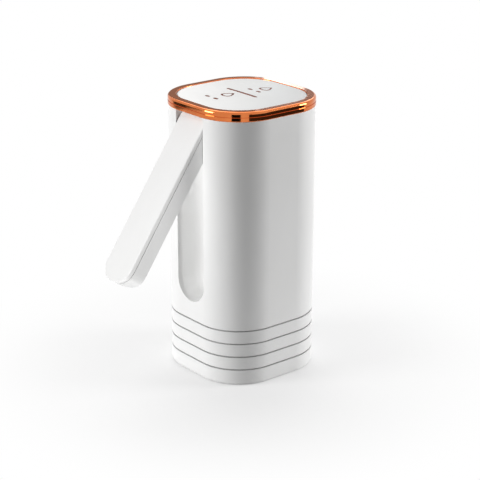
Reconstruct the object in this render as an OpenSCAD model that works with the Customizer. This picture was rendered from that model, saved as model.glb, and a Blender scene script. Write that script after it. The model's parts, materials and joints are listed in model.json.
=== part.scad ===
// Electric pump that stands on the neck of a water jug, with a spout arm that folds into its side.
// The origin is the centre of the neck socket's mouth. +Z is up and the arm is on the -X face.

/* [Body] */
// Thickness of the base between the neck socket and each flat face of the body
collar_wall = 4.25; // [4:0.05:6]
// Width of each flat face between the round corners
flat_w = 18; // [14:0.5:24]
// Room for the leads between the motor's terminals and the top frame
head_room = 13.2; // [10:0.1:20]
// Wall of the housing
wall = 2.2; // [1.8:0.1:2.5]

/* [Base collar] */
// Outer diameter of the jug neck that the socket takes
neck_d = 55; // [48:0.5:62]
// Radial play between the neck and the socket
neck_play = 0.25; // [0.1:0.05:0.4]
// Depth of the socket below its gasket
socket_depth = 20; // [16:0.5:21]
// Wall of the round sleeve that guides the neck
sleeve_wall = 1.75; // [1.4:0.05:2]
// Wall of the grooved skirt
skirt_wall = 3; // [2.6:0.1:3.4]
// Height of the skirt
collar_h = 28.5; // [27:0.5:31]
// Width of each groove, and of the parting gap under the housing
groove_w = 0.8; // [0.5:0.1:1.2]
// Depth of each groove
groove_d = 1.3; // [0.4:0.1:1.6]
// Distance between the grooves
groove_pitch = 6.8; // [5:0.2:7]
// Number of grooves below the parting gap
groove_count = 3; // [1:1:4]
// Rounding of the rim's outer edge
rim_round = 2.4; // [0.5:0.1:2.5]

/* [Socket plate] */
// Thickness of the plate over the socket
plate_t = 2.5; // [2:0.1:3]
// Thickness of the neck gasket
gasket_t = 2.5; // [2:0.1:3]
// Radial width of the neck gasket
gasket_band = 7.5; // [5:0.5:9]
// Diameter of the well round the inlet
well_d = 20; // [18:0.5:22]
// Wall of the well
well_wall = 2.2; // [1.8:0.1:2.6]
// Height of the well's roof above the plate's underside
well_h = 13.5; // [12:0.5:16]
// Wall of the tongue that guides the housing
tongue_wall = 1.8; // [1.4:0.1:2.2]
// Height of the tongue inside the housing
tongue_h = 2.7; // [2:0.1:4]

/* [Inlet] */
// Diameter of the spigot that takes the suction hose
inlet_d = 8; // [6:0.5:9]
// Bore of the spigot
inlet_bore = 5.6; // [4.6:0.1:5.8]
// Length of the spigot below the well's roof
inlet_reach = 14.5; // [10:0.5:15]
// Diameter of the fitting's flange
flange_d = 14; // [12:0.5:15]
// Thickness of the fitting's flange
flange_t = 1.8; // [1.4:0.1:2.4]
// Thickness of the sealing washer under the flange
washer_t = 1; // [0.8:0.1:1.4]

/* [Spout arm] */
// Angle of the arm from the body
arm_open = 34.8; // [30:0.2:40]
// Width of the arm
arm_w = 20; // [18:0.5:21]
// Thickness of the arm
arm_t = 9.8; // [9:0.1:11]
// Depth of the outer cover, from the arm's face to the seam
cover_t = 4.2; // [3.6:0.1:4.6]
// Thickness of the cover's face
cover_skin = 2.1; // [1.6:0.1:2.4]
// Width and depth of the seam between cover and shell
seam = 0.4; // [0.2:0.05:0.6]
// Distance of the pivot behind the arm's outer face
hinge_inset = 7; // [6.6:0.1:7.2]
// Distance of the pivot below the housing's top edge
hinge_drop = 7.7; // [7.6:0.1:8.4]
// Radius of the tip's corners, seen from outside
tip_r = 8.5; // [5:0.5:9.5]
// Radius of the tip's inner edge
nose_r = 5; // [3:0.5:5.5]
// Rounding of the arm's long outer edges
edge_round = 2.2; // [0.6:0.1:3]
// Wall of the arm's shell
arm_wall = 1.4; // [1.2:0.1:1.8]
// Diameter of the water tube in the arm
tube_d = 4.4; // [4:0.1:4.6]
// Wall of the water tube
tube_wall = 0.7; // [0.5:0.1:0.9]
// Distance of the nozzle's centre above the tip
nozzle_up = 11; // [9:0.5:14]
// Diameter of the nozzle
nozzle_d = 9; // [8:0.2:10]

/* [Recess] */
// Height of the recess's lower end above the housing's bottom edge
recess_rise = 9.4; // [6:0.1:16]
// Gap beside the arm when it is folded
arm_gap = 0.4; // [0.3:0.05:0.6]
// Gap behind the arm's knuckle
knuckle_gap = 0.6; // [0.4:0.1:1]
// Gap under the folded arm's tip, for a fingertip
finger_gap = 3.3; // [2.5:0.1:7]
// Wall of the recess
recess_wall = 1.8; // [1.4:0.1:2]
// Radius between the recess's floor and its sides
recess_round = 5; // [3:0.5:6]

/* [Hinge] */
// Diameter of the hollow axle
axle_d = 5; // [4:0.1:5.2]
// Bore of the hollow axle
axle_bore = 3; // [2:0.1:3.2]
// Thickness of each sealing ring's cord
seal_cord = 1.5; // [1.2:0.1:1.6]
// Distance of each sealing ring from the arm's middle
seal_y = 5.5; // [4.5:0.1:7]
// Wall of the elbow round its passages
elbow_wall = 3.1; // [2.6:0.1:3.4]

/* [Ring and panel] */
// Height of the trim ring
ring_h = 4.8; // [4.2:0.1:5.4]
// Overhang of the ring past the housing
ring_over = 0.3; // [0.2:0.1:1]
// Width of the ring's top land
ring_land = 4.4; // [3.8:0.1:5]
// Thickness of the ring's land
land_t = 1.6; // [1.2:0.1:1.8]
// Width and depth of the ring's groove
ring_groove = 0.4; // [0.2:0.05:0.6]
// Rounding of the ring's upper edge
ring_round = 1.2; // [0.6:0.1:1.4]
// Gap round the button panel
panel_gap = 0.25; // [0.2:0.05:0.4]
// Thickness of the panel at its edge
panel_t = 2.2; // [1.8:0.1:2.3]
// Height of the panel's crown over its edge
panel_crown = 0.6; // [0.3:0.1:1]
// Drop of the panel's edge below the ring's land
panel_drop = 0.2; // [0:0.1:0.4]
// Diameter of the panel's pivot pins
pivot_d = 2.4; // [2:0.1:2.6]
// Distance between the outer ends of the pivot lugs
pivot_span = 45.8; // [44:0.2:47]

/* [Top frame] */
// Thickness of the frame's floor
floor_t = 1.8; // [1.4:0.1:2.2]
// Depth of the floor below the housing's top edge
floor_drop = 6; // [5.6:0.1:7]
// Thickness of the frame's rim and risers
frame_wall = 1.4; // [1.2:0.1:1.6]
// Thickness of the bridge over the recess
bridge_t = 1.2; // [1:0.1:1.3]
// Width of the window for the leads in the frame's floor
wire_w = 12; // [10:0.5:13]
// Height of the standoffs under the control board
standoff_h = 1.4; // [1.2:0.1:1.6]

/* [Pump] */
// Distance of the pump's axis from the body's axis along X
pump_x = 2; // [1:0.2:3]
// Distance of the pump's axis from the body's axis along Y
pump_y = -9; // [-9.4:0.1:-8.4]
// Diameter of the pump head
pump_d = 26; // [25.6:0.1:27]
// Height of the pump head above the chassis deck
pump_lift = 16; // [15:0.2:20]
// Thickness of the pump's cover
cover_disc_t = 5; // [4.4:0.1:6]
// Thickness of the valve plate
valve_t = 1.6; // [1.2:0.1:2]
// Thickness of the diaphragm's flange
diaphragm_t = 1.6; // [1.2:0.1:2]
// Distance of each cup from the pump's axis
cup_out = 6.2; // [5.8:0.1:6.6]
// Radius of each cup
cup_r = 4; // [3.6:0.1:4.2]
// Height of each cup above the diaphragm's flange
cup_h = 4.6; // [4:0.1:5]
// Thickness of the wobble plate
spider_t = 1.6; // [1.2:0.1:1.8]
// Height of the wobble case
case_h = 13.8; // [13.4:0.1:16]
// Diameter of the motor
motor_d = 24.4; // [23:0.1:25]
// Length of the motor's can
motor_len = 31; // [28:0.5:33]
// Diameter of the motor's shaft
shaft_d = 2; // [1.6:0.1:2.4]
// Offset of the drive hole in the eccentric
throw = 0.6; // [0.3:0.1:0.8]
// Distance of the outlet from the pump's axis
outlet_out = 18; // [17.9:0.1:19]

/* [Hoses] */
// Bore of the silicone hoses
hose_bore = 5; // [4:0.1:5.2]
// Wall of the silicone hoses
hose_wall = 1.3; // [1:0.1:1.4]
// Length of each hose stub
stub_len = 6.5; // [5:0.1:7]
// Bore of each hose stub
stub_bore = 3; // [2:0.1:3.4]
// Radius of the outlet hose's bends
hose_bend = 25; // [20:1:30]

/* [Battery] */
// Diameter of the cell
cell_d = 18.4; // [17.6:0.1:18.8]
// Length of the cell
cell_len = 65; // [60:0.5:70]
// Distance of the cell's axis from the body's axis along X
cell_x = 8; // [7:0.2:8.6]
// Distance of the cell's axis from the body's axis along Y
cell_y = 15.5; // [15.2:0.1:16]
// Height of the cell's cradle
cradle_h = 35; // [25:1:45]

/* [Chassis] */
// Thickness of the chassis deck
deck_t = 2; // [1.6:0.1:2.4]
// Wall of the pump tower and the cell cradle
tower_wall = 1.5; // [1.2:0.1:1.6]
// Height of the pump tower above the pump's seat
tower_h = 14; // [10:0.5:18]

/* [Electronics] */
// Thickness of the circuit boards
board_t = 1.2; // [1:0.1:1.4]
// Width of the control board
board_w = 33; // [30:0.5:33]
// Reach of the control board towards the back
board_back = 20; // [18:0.5:20.5]
// Distance of the front switch from the control board's front edge
switch_edge = 1.2; // [0.8:0.1:2]
// Width of the charging board
charge_w = 18; // [16:0.2:19]
// Height of the charging board
charge_h = 24; // [20:0.5:28]
// Height of the charging socket's centre above the rim
usb_z = 50; // [46:0.5:60]
// Length of the charging socket
usb_len = 8; // [7:0.1:8.4]
// Outer width of the charging socket
usb_w = 9; // [8.8:0.1:9.4]
// Outer height of the charging socket
usb_h = 3.2; // [3:0.1:3.6]
// Thickness of each lead
lead_d = 1.4; // [1:0.1:1.6]

/* [Fasteners and clearances] */
// Shank diameter of the screws
screw_d = 2; // [1.6:0.1:2]
// Head diameter of the screws
head_d = 3.6; // [3.2:0.1:3.8]
// Head height of the screws
head_h = 1.4; // [1:0.1:1.6]
// Radial clearance of shafts, pins and pushed-on hoses
slip = 0.05; // [0.03:0.01:0.08]
// Clearance of pieces that are put together by hand
play = 0.2; // [0.15:0.05:0.25]

/* [Hidden] */
$fn = 64;

// Overrun of a cutting form past the face that it opens
over = 1;
corners = [[1, 1], [-1, 1], [-1, -1], [1, -1]];

// Body: its width follows from the jug's neck
bore_r = neck_d / 2 + neck_play;
half = bore_r + collar_wall;
corner = flat_w / 2;
body_r = half - corner;
inner_half = half - wall;
inner_r = body_r - wall;

// Base collar and socket plate
sleeve_r = bore_r + sleeve_wall;
gasket_r = bore_r + sleeve_wall / 5;
plate_z = socket_depth + gasket_t;
plate_top = plate_z + plate_t;
plate_half = half - skirt_wall - play;
plate_r = body_r - skirt_wall - play;
seat_z = collar_h + groove_w;
tongue_top = seat_z + tongue_h;
well_r = well_d / 2;
well_out = well_r + well_wall;
well_roof = plate_z + well_h;
well_top = well_roof + well_wall;

// Screws that hold the base: each stands on its corner's diagonal, just inside the skirt
screw_r = screw_d / 2;
hole_r = screw_r + slip;
head_r = head_d / 2;
post_r = screw_r * 1.75;
boss_r = screw_r + screw_d;
boss_in = boss_r - screw_r / 2;
post_out = body_r - skirt_wall - play - post_r;
post_xy = corner + post_out / sqrt(2);
post_far = post_xy * sqrt(2);
post_top = well_top - play;
screw_seat = plate_z - 3 * screw_d;
screw_bite = 8;

// Inlet
flange_z = well_top + washer_t;
flange_top = flange_z + flange_t;
inlet_tip = well_roof - inlet_reach;
collar_r = inlet_d / 2 + 0.4;
stub_r = hose_bore / 2 - slip;
hose_r = hose_bore / 2 + hose_wall;

// Pump and motor, which set the height of the body
deck_top = well_top + deck_t;
pump_z = deck_top + pump_lift;
cover_top = pump_z + cover_disc_t;
valve_top = cover_top + valve_t;
flange_up = valve_top + diaphragm_t;
case_top = flange_up + case_h;
motor_top = case_top + motor_len;
cap_t = 1.6;
terminal_h = 4;
body_top = motor_top + cap_t + terminal_h + head_room + floor_drop;

// Spout arm, in its folded place
hinge_x = hinge_inset - half;
hinge_z = body_top - hinge_drop;
recess_low = seat_z + recess_rise;
arm_tip = recess_low + finger_gap;
arm_len = hinge_z - arm_tip;
arm_half = arm_w / 2;
arm_back = arm_t - half;
knuckle_r = hinge_inset;
shell_x = cover_t + seam - half;
axle_r = axle_d / 2;
seal_mid = axle_r + slip + seal_cord / 2;
chamber_r = axle_r + 0.9;
chamber_y = 3;
tube_r = tube_d / 2;
tube_bore = tube_r - tube_wall;
tube_x = (cover_skin - half + arm_back - arm_wall) / 2;
cavity_top = hinge_z - knuckle_r;
cavity_low = arm_tip + 3 * arm_wall;
core_r = seal_mid + seal_cord / 2 + arm_wall;
core_y = arm_half - edge_round;
nozzle_z = arm_tip + nozzle_up;
nozzle_r = nozzle_d / 2;
nozzle_bore = nozzle_r - 1.5;
nozzle_x = cover_skin + seam + play - half;
socket_t = 1.2;
screen_t = 0.8;
screen_in = 1;

// Recess
recess_half = arm_half + arm_gap;
recess_floor = hinge_x + knuckle_r + knuckle_gap;
recess_end = recess_low + recess_half;
side_y = recess_half + recess_wall;
back_x = recess_floor + recess_wall;

// Hinge elbow
elbow_r = axle_bore / 2 + elbow_wall;
elbow_x = hinge_x + 6;
elbow_y = -(side_y + hose_r + 1);
axle_end = side_y + 2.6;
elbow_z = hinge_z - elbow_r;

// Ring, panel and top frame
ring_half = half + ring_over;
ring_out = body_r + ring_over;
ring_in = ring_out - ring_land;
ring_top = body_top + ring_h;
frame_half = inner_half - play;
frame_r = inner_r - play;
rim_in = frame_r - frame_wall;
floor_z = body_top - floor_drop;
floor_top = floor_z + floor_t;
rim_top = ring_top - land_t - play;
bridge_top = body_top + bridge_t;
notch_x = back_x + frame_wall;
notch_y = -elbow_y + elbow_r - 1.8 + play;
panel_half = corner + ring_in - panel_gap;
panel_r = ring_in - panel_gap;
panel_top = ring_top - panel_drop;
panel_z = panel_top - panel_t;
crown_r = panel_half * sqrt(2);
pivot_z = panel_z - pivot_d / 2 - 1.4;
pivot_r = pivot_d / 2;
crown_rings = 12;
lug_t = 2.2;
lug_y = pivot_span / 2 - lug_t;
ear_t = 2.4;
ear_y = lug_y - 0.3 - ear_t;
ear_w = pivot_d + 1.6;

// Control board and switches
board_z = floor_top + standoff_h;
board_top = board_z + board_t;
board_front = notch_x + frame_wall + 0.4;
board_holes = [[board_back - 3, -board_w / 2 + 3], [board_front + 3, board_w / 2 - 3]];
board_feet = [[board_back - 3, board_w / 2 - 3], [board_front + 3, -board_w / 2 + 3]];
switch_w = 5.6;
switch_x = -board_front - switch_w / 2 - switch_edge;
switch_h = 2.2;
switch_top = board_top + switch_h;
button_r = 1.7;
button_top = switch_top + 0.6;
button_well = 1.5;
press_gap = 0.1;

// Bosses for the top frame: two in the back corners and two on the side walls
frame_holes = [
    [post_xy, post_xy], [post_xy, -post_xy],
    [1 - corner, inner_half - boss_in], [1 - corner, boss_in - inner_half]
];
frame_boss_h = 16;

// Chassis, pump and battery
pump_at = [pump_x, pump_y];
pump_r = pump_d / 2;
tower_in = pump_r + 0.3;
tower_out = tower_in + tower_wall;
cell_at = [cell_x, cell_y];
cell_r = cell_d / 2;
cradle_in = cell_r + 0.25;
cradle_out = cradle_in + tower_wall;
ear_out = head_r + 1.2;
ear_in = head_r + 0.5;
chassis_posts = [
    pump_at + (tower_out + ear_in) * [cos(37), sin(37)],
    pump_at + (tower_out + ear_in) * [cos(-46), sin(-46)],
    (well_out + ear_in) * [cos(131), sin(131)]
];
motor_r = motor_d / 2;
shaft_r = shaft_d / 2;
outlet_dir = 225;
outlet_at = pump_at + outlet_out * [cos(outlet_dir), sin(outlet_dir)];
pump_bolts = [for (k = [0:2]) outlet_dir + 60 + 120 * k];
bolt_out = pump_r - 1.9;
shelf_w = 2;
case_wall = 1.8;
spider_z = flange_up + cup_h + 2.6;
hub_z = spider_z + spider_t + 1;
drive_pin_r = 0.8;
drive_pin_top = hub_z + spider_t;
shaft_low = drive_pin_top + 2 * play;
hub_r = 4.6;
can_wall = 1.2;
magnet_in = motor_r - can_wall - 2;
rotor_gap = 5;
rotor_len = motor_len - 2 * rotor_gap;

// Charging socket and board
charge_x = half - 0.3 - usb_len;
charge_z = usb_z - charge_h / 2;
rail_w = 2.4;
rail_in = charge_w / 2 - 1;
slot_half = charge_w / 2 + play;
usb_wall = 0.35;
lead_rise = [0, 0, 2 * lead_d];

// Flat shapes and sweeps

// Square with round corners
module rounded_square(half_w, r) {
    square([2 * half_w, 2 * (half_w - r)], center = true);
    square([2 * (half_w - r), 2 * half_w], center = true);
    for (c = corners) translate(c * (half_w - r)) circle(r);
}

// Upright block with round corners
module rounded_block(half_w, r, z, h) {
    translate([0, 0, z]) linear_extrude(h) rounded_square(half_w, r);
}

// Sweeps a profile round the body: the profile's x is its distance from the corner centres, and its y is
// the height
module round_body() {
    for (k = [0:3]) rotate(90 * k) {
        translate([corner, corner]) rotate_extrude(angle = 90) children();
        translate([corner, corner]) rotate([90, 0, 0]) linear_extrude(2 * corner) children();
    }
}

// What a rounding of radius r takes off a square corner at the origin that faces +X and +Y
module corner_cut(r) {
    difference() {
        translate([-r, -r]) square(r + over);
        translate([-r, -r]) circle(r);
    }
}

// Rectangle with full-round ends, centred
module stadium(w, h) {
    square([w - h, h], center = true);
    for (s = [-1, 1]) translate([s * (w - h) / 2, 0]) circle(h / 2);
}

// Round ring, flat
module annulus(r_out, r_in) {
    difference() {
        circle(r_out);
        circle(r_in);
    }
}

// Upright tube
module tube(r_out, r_in, z, h) {
    translate([0, 0, z]) linear_extrude(h) annulus(r_out, r_in);
}

// Cylinder along Y from y0 to y1 on the hinge's axis
module on_hinge(r, y0, y1) {
    translate([hinge_x, y0, hinge_z]) rotate([-90, 0, 0]) cylinder(r = r, h = y1 - y0);
}

// Extrudes a flat shape along X: the shape's x becomes Y, and its y becomes Z
module along_x(x0, x1) {
    translate([x0, 0, 0]) rotate([90, 0, 90]) linear_extrude(x1 - x0) children();
}

// Extrudes a flat shape along Y: the shape's x stays X, and its y becomes Z
module along_y(y0, y1) {
    translate([0, y1, 0]) rotate([90, 0, 0]) linear_extrude(y1 - y0) children();
}

// Turns the folded arm out to its opened place
module opened() {
    translate([hinge_x, 0, hinge_z]) rotate([0, arm_open, 0]) translate([-hinge_x, 0, -hinge_z]) children();
}

// Pan-head screw that points up, with its head below z = 0 and a cross slot in the head
module screw(len) {
    slot_w = head_r / 3;
    difference() {
        union() {
            cylinder(r = screw_r, h = len);
            translate([0, 0, -head_h]) cylinder(r = head_r, h = head_h);
        }
        for (a = [0, 90]) rotate(a) translate([-head_r / 2 - slot_w / 2, -slot_w / 2, -head_h - over])
            cube([head_r + slot_w, slot_w, over + head_h / 2]);
    }
}

// Points of a smooth route through the given points
function route(p, steps) = [
    for (i = [0:len(p) - 2], k = [0:steps - 1])
        let (t = k / steps, a = p[max(i - 1, 0)], b = p[i], c = p[i + 1], d = p[min(i + 2, len(p) - 1)])
            0.5 * (2 * b + (c - a) * t + (2 * a - 5 * b + 4 * c - d) * t * t
                + (3 * b - a - 3 * c + d) * t * t * t),
    p[len(p) - 1]
];

// Lead of round section along an upright route
module lead(points, sides = 8) {
    path = route(points, 4);
    last = len(path) - 1;
    dirs = [for (i = [0:last]) let (v = path[min(i + 1, last)] - path[max(i - 1, 0)])
        (i == 0 || i == last) ? [0, 0, 1] : v / norm(v)];
    rings = [for (i = [0:last], s = [0:sides - 1])
        let (u = cross([0, 1, 0], dirs[i]), e = u / norm(u), f = cross(dirs[i], e), a = 360 * s / sides)
            path[i] + lead_d / 2 * (cos(a) * e + sin(a) * f)];
    walls = [for (i = [0:last - 1], s = [0:sides - 1])
        let (n = (s + 1) % sides, a = i * sides + s, b = i * sides + n, c = a + sides, d = b + sides)
            each [[a, c, b], [b, c, d]]];
    low_end = [for (s = [1:sides - 2]) [0, s, s + 1]];
    high_end = [for (s = [1:sides - 2]) [last * sides, last * sides + s + 1, last * sides + s]];
    polyhedron(points = rings, faces = concat(walls, low_end, high_end));
}

// Housing

// Half of the recess's section: x is the distance from its middle, and y is the way in from the face
module recess_half_section(w, floor_x, r) {
    face_x = -half - over;
    translate([0, face_x]) square([w, floor_x - r - face_x]);
    translate([0, face_x]) square([w - r, floor_x - face_x]);
    translate([w - r, floor_x - r]) intersection() {
        circle(r);
        square(r);
    }
}

// The recess with walls grown by the given amount: a straight channel with a half-round lower end
module recess_form(grow, top) {
    w = recess_half + grow;
    translate([0, 0, recess_end]) {
        linear_extrude(top - recess_end) rotate(90) {
            mirror([0, 1]) recess_flat(grow);
        }
        rotate([0, 90, 0]) rotate(-90) rotate_extrude(angle = 180)
            recess_half_section(w, recess_floor + grow, recess_round + grow);
    }
    // Square pocket for the knuckle
    pocket_z = hinge_z - knuckle_r - knuckle_gap - grow;
    translate([-half - over, -w, pocket_z])
        cube([recess_floor + grow + half + over, 2 * w, top - pocket_z]);
}

// Whole section of the recess, with x across it
module recess_flat(grow) {
    for (s = [0, 1]) mirror([s, 0])
        recess_half_section(recess_half + grow, recess_floor + grow, recess_round + grow);
}

module main_housing() {
    rail_x = charge_x - board_t - 1;
    color("white") difference() {
        union() {
            difference() {
                rounded_block(half, body_r, seat_z, body_top - seat_z);
                rounded_block(inner_half, inner_r, seat_z - over, body_top - seat_z + 2 * over);
            }
            // Posts that stand on the socket plate, thicker above the tongue
            for (c = corners) translate(c * post_xy) {
                translate([0, 0, plate_top]) cylinder(r = post_r, h = post_top - plate_top);
                translate([0, 0, tongue_top + play]) cylinder(r = boss_r, h = post_top - tongue_top - play);
            }
            // Bosses under the top frame, each on a tapered foot
            for (p = frame_holes) translate([p[0], p[1], floor_z]) {
                translate([0, 0, -frame_boss_h]) cylinder(r = boss_r, h = frame_boss_h);
                translate([0, 0, -frame_boss_h - 2 * boss_r])
                    cylinder(r1 = screw_r, r2 = boss_r, h = 2 * boss_r);
            }
            // Rails that hold the charging board
            for (s = [-1, 1])
                translate([rail_x, s * (rail_in + rail_w / 2) - rail_w / 2, charge_z - rail_w])
                cube([inner_half + wall / 2 - rail_x, rail_w, charge_h + rail_w]);
        }
        recess_form(0, body_top + over);
        for (c = corners) translate(c * post_xy)
            translate([0, 0, plate_top - over]) cylinder(r = hole_r, h = screw_bite + over + play);
        for (p = frame_holes) translate([p[0], p[1], floor_z - screw_bite - play])
            cylinder(r = hole_r, h = screw_bite + play + over);
        translate([charge_x - board_t - play / 2, -slot_half, charge_z])
            cube([board_t + play, 2 * slot_half, charge_h + over]);
        translate([0, 0, usb_z]) {
            along_x(inner_half - over, half + over) stadium(usb_w + 2 * play, usb_h + 2 * play);
            along_x(half - wall / 3, half + over) stadium(usb_w + 4, usb_h + 4);
        }
    }
}

// Trough behind the opening in the housing's side, with a flange that is bonded to the wall.
// It takes the folded arm and carries the hinge.
module arm_bay() {
    flange_t = 1.2;
    flange_w = 3;
    flange_h = hinge_z - 2 * knuckle_r - seat_z;
    color("white") difference() {
        union() {
            intersection() {
                recess_form(recess_wall, body_top);
                rounded_block(inner_half, inner_r, seat_z, body_top - seat_z);
            }
            intersection() {
                recess_form(recess_wall + flange_w, body_top);
                difference() {
                    rounded_block(inner_half, inner_r, seat_z, flange_h);
                    rounded_block(inner_half - flange_t, inner_r - flange_t, seat_z - over,
                        flange_h + 2 * over);
                }
            }
        }
        recess_form(0, body_top + over);
        on_hinge(axle_r + slip, -side_y - over / 2, side_y + over / 2);
    }
}

// Base

// Section of the grooved skirt
module skirt_profile() {
    difference() {
        translate([body_r - skirt_wall, 0]) square([skirt_wall, collar_h]);
        translate([body_r, 0]) mirror([0, 1]) corner_cut(min(rim_round, skirt_wall - groove_d));
        for (k = [1:groove_count])
            translate([body_r - groove_d, collar_h + groove_w / 2 - k * groove_pitch])
            translate([0, -groove_w / 2]) square([groove_d + over, groove_w]);
    }
    translate([body_r - skirt_wall, collar_h - over]) square([skirt_wall - groove_d, groove_w + over]);
}

module base_collar() {
    color("white") difference() {
        union() {
            round_body() skirt_profile();
            tube(sleeve_r, bore_r, 0, plate_z);
            difference() {
                for (c = corners) translate(c * post_xy) cylinder(r = boss_r, h = plate_z);
                for (a = [45:90:315]) rotate(a) translate([0, -boss_in, 0])
                    cube([post_far, 2 * boss_in, plate_z]);
                translate([0, 0, -over]) cylinder(r = bore_r + sleeve_wall / 2, h = plate_z + 2 * over);
            }
        }
        translate([0, 0, socket_depth]) cylinder(r = gasket_r, h = gasket_t + over);
        rounded_block(plate_half + play, plate_r + play, plate_z, seat_z - plate_z + over);
        for (c = corners) translate(c * post_xy) {
            translate([0, 0, -over]) cylinder(r = head_r + play, h = screw_seat + over);
            cylinder(r = hole_r, h = plate_z + over);
        }
    }
}

// Section of the tongue, with a bead that guides the housing
module tongue_profile() {
    translate([plate_r - tongue_wall, plate_z]) square([tongue_wall, tongue_top - plate_z]);
    translate([plate_r - tongue_wall, seat_z + play])
        square([inner_r - play - plate_r + tongue_wall, tongue_top - seat_z - play]);
}

module socket_plate() {
    color("whitesmoke") difference() {
        union() {
            rounded_block(plate_half, plate_r, plate_z, plate_t);
            round_body() tongue_profile();
            translate([0, 0, plate_z]) cylinder(r = well_out, h = well_top - plate_z);
            for (p = chassis_posts) translate([p[0], p[1], plate_z])
                cylinder(r = boss_r, h = well_top - plate_z);
        }
        translate([0, 0, plate_z - over]) cylinder(r = well_r, h = well_h + over);
        translate([0, 0, well_roof - over]) cylinder(r = collar_r + slip, h = well_wall + 2 * over);
        for (c = corners) translate(c * post_xy) {
            translate([0, 0, plate_top]) cylinder(r = post_r + 4 * play, h = tongue_top - plate_top + over);
            translate([0, 0, tongue_top]) cylinder(r = boss_r + play, h = well_top - tongue_top + over);
            translate([0, 0, plate_z - over]) cylinder(r = hole_r, h = plate_t + 2 * over);
        }
        for (p = chassis_posts) translate([p[0], p[1], well_top - screw_bite - play])
            cylinder(r = hole_r, h = screw_bite + play + over);
    }
}

// Gasket with two lips on its underside
module neck_gasket() {
    outer = gasket_r - slip;
    inner = outer - gasket_band;
    lip = gasket_t / 3;
    lips = [for (d = [gasket_band / 4, 3 * gasket_band / 4])
        each [[d - lip, lip], [d - lip / 2, 0], [d + lip / 2, 0], [d + lip, lip]]];
    color("gainsboro") rotate_extrude() translate([inner, socket_depth])
        polygon(concat([[0, lip]], lips, [[gasket_band, lip], [gasket_band, gasket_t], [0, gasket_t]]));
}

module inlet_fitting() {
    spigot_r = inlet_d / 2;
    nose = 0.6;
    color("whitesmoke") difference() {
        rotate_extrude() {
            translate([0, inlet_tip]) polygon([
                [0, 0], [spigot_r - nose, 0], [spigot_r, nose], [spigot_r, inlet_reach], [collar_r,
                    inlet_reach],
                [collar_r, flange_z - inlet_tip], [flange_d / 2, flange_z - inlet_tip],
                [flange_d / 2, flange_top - inlet_tip], [stub_r, flange_top - inlet_tip],
                [stub_r, flange_top + stub_len - inlet_tip], [0, flange_top + stub_len - inlet_tip]
            ]);
        }
        translate([0, 0, inlet_tip - over]) cylinder(r = inlet_bore / 2, h = inlet_reach + over);
        translate([0, 0, inlet_tip])
            cylinder(r = stub_bore / 2, h = flange_top + stub_len + over - inlet_tip);
    }
}

module inlet_seal() {
    color("gainsboro") tube(flange_d / 2, collar_r + slip, well_top, washer_t);
}

// Top

// Section of the trim ring: two bands on the outside, parted by a groove, and a land that covers the
// frame's rim
module ring_profile() {
    lap = frame_r + play;
    groove_z = body_top + ring_h * 0.46;
    difference() {
        union() {
            translate([lap, body_top]) square([ring_out - lap, ring_h]);
            translate([ring_in, ring_top - land_t]) square([ring_land, land_t]);
        }
        translate([ring_out, ring_top]) corner_cut(ring_round);
        translate([ring_in, ring_top]) mirror([1, 0]) corner_cut(ring_groove);
        translate([ring_out, body_top]) mirror([0, 1]) corner_cut(ring_groove);
        translate([ring_out - ring_groove, groove_z - ring_groove / 2])
            square([ring_groove + over, ring_groove]);
    }
}

module trim_ring() {
    color("peru") round_body() ring_profile();
}

// Floor, rim, posts and the bridge over the recess, in one moulding
module top_frame() {
    riser_h = bridge_top - floor_z;
    color("whitesmoke") difference() {
        union() {
            difference() {
                union() {
                    rounded_block(frame_half, frame_r, floor_z, floor_t);
                    round_body() translate([rim_in, floor_z]) square([frame_wall, rim_top - floor_z]);
                }
                translate([-half, -notch_y, floor_z - over])
                    cube([half + notch_x, 2 * notch_y, floor_drop + over]);
            }
            intersection() {
                rounded_block(frame_half - frame_wall / 2, frame_r - frame_wall / 2, floor_z, riser_h);
                union() {
                    translate([-half, -notch_y - frame_wall, body_top])
                        cube([half + notch_x + frame_wall, 2 * (notch_y + frame_wall), bridge_t]);
                    translate([notch_x, -notch_y - frame_wall, floor_z])
                        cube([frame_wall, 2 * (notch_y + frame_wall), riser_h]);
                    for (s = [-1, 1])
                        translate([-half, s * (notch_y + frame_wall / 2) - frame_wall / 2, floor_z])
                        cube([half + notch_x + frame_wall, frame_wall, riser_h]);
                }
            }
            for (s = [0, 1]) mirror([0, s, 0]) along_y(ear_y, ear_y + ear_t) {
                translate([-ear_w / 2, floor_top - floor_t / 2])
                    square([ear_w, pivot_z - floor_top + floor_t / 2]);
                translate([0, pivot_z]) circle(ear_w / 2);
            }
            for (p = concat(board_holes, board_feet)) translate([p[0], p[1], floor_top - floor_t / 2])
                cylinder(r = boss_r - play, h = standoff_h + floor_t / 2);
        }
        for (s = [0, 1]) mirror([0, s, 0]) along_y(ear_y - over, ear_y + ear_t + over)
            translate([0, pivot_z]) circle(pivot_r + slip);
        translate([0, -wire_w / 2, floor_z - over]) cube([wire_w, wire_w, floor_t + 2 * over]);
        for (p = frame_holes) translate([p[0], p[1], floor_z]) {
            translate([0, 0, -over]) cylinder(r = hole_r, h = floor_t + 2 * over);
            translate([0, 0, floor_t]) cylinder(r = head_r + play, h = rim_top - floor_top + over);
        }
        for (p = board_holes) translate([p[0], p[1], floor_z - over])
            cylinder(r = hole_r, h = floor_t + standoff_h + 2 * over);
    }
}

// Point of the panel's crown, at a share of the way from its middle to its corners
function crown_point(t) = [crown_r * t, panel_top + panel_crown * (1 - 2 * t * t)];

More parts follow.
